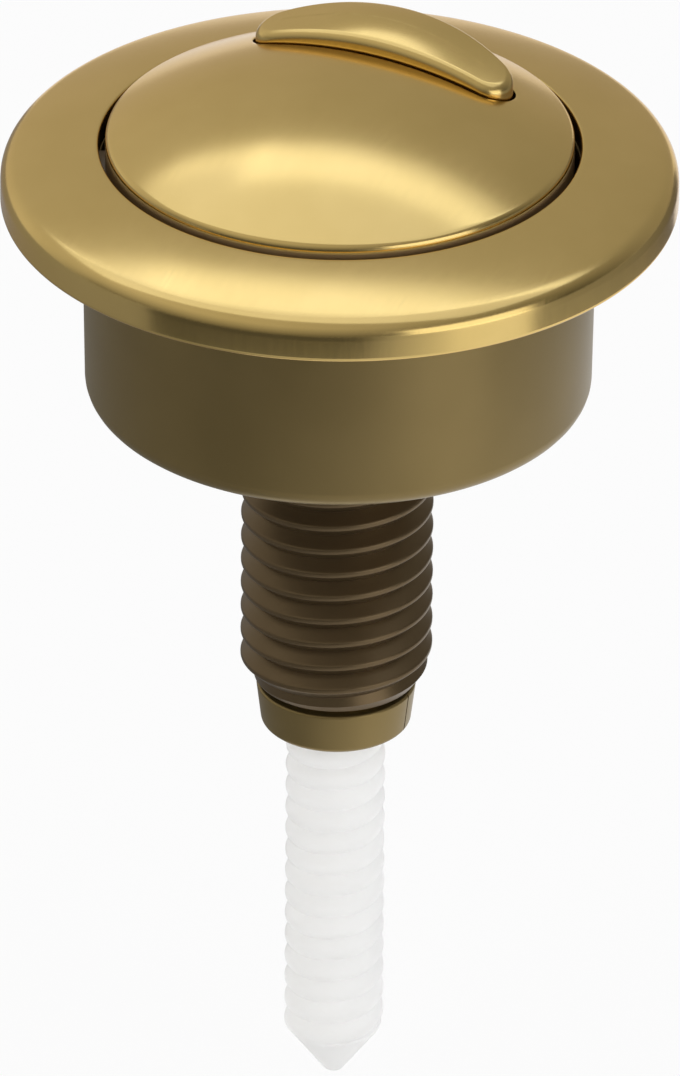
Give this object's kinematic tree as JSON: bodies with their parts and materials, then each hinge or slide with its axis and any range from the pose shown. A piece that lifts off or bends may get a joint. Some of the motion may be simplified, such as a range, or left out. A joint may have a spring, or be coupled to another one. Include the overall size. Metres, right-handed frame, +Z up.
{
  "type": "push button cistern actuator",
  "caption": "Round dual-flush push button for a cistern lid: domed button with a half-moon inset, sloped bezel, cup with threaded shank, tapered collar and adjustable push rod.",
  "frame": {"origin": "on the button's axis, in the plane where the flange sits on the cistern lid", "axes": "+Z up out of the lid along the button's axis, +Y towards the small button"},
  "size_m": [0.07, 0.07, 0.1195],
  "materials": {
    "brass": "satin",
    "bronze_plastic": "satin",
    "white_plastic": "satin",
    "grey_plastic": "matte",
    "steel": "satin"
  },
  "bodies": {
    "housing_body": {"housing": "bronze_plastic", "bezel": "brass", "main_spring": "steel"},
    "large_button": {"full_flush_button": "brass", "full_flush_carrier": "grey_plastic", "plunger_spring": "steel"},
    "small_button": {"half_flush_button": "brass", "half_flush_arm": "grey_plastic", "arm_screw": "steel", "plunger": "bronze_plastic", "collar": "bronze_plastic"},
    "rod": {"push_rod": "white_plastic"}
  },
  "joints": [
    {"name": "full_flush_press", "type": "slide", "parent": "housing_body", "child": "large_button", "axis": [0, 0, -1], "range_m": [0, 0.008], "stiffness_N_per_m": 900, "springref_m": -0.01, "deforming": ["main_spring"]},
    {"name": "half_flush_press", "type": "slide", "parent": "large_button", "child": "small_button", "axis": [0, 0, -1], "range_m": [0, 0.004], "stiffness_N_per_m": 400, "springref_m": -0.008, "deforming": ["plunger_spring"]},
    {"name": "rod_adjust", "type": "slide", "parent": "small_button", "child": "rod", "axis": [0, 0, -1], "range_m": [-0.022, 0.02]}
  ]
}
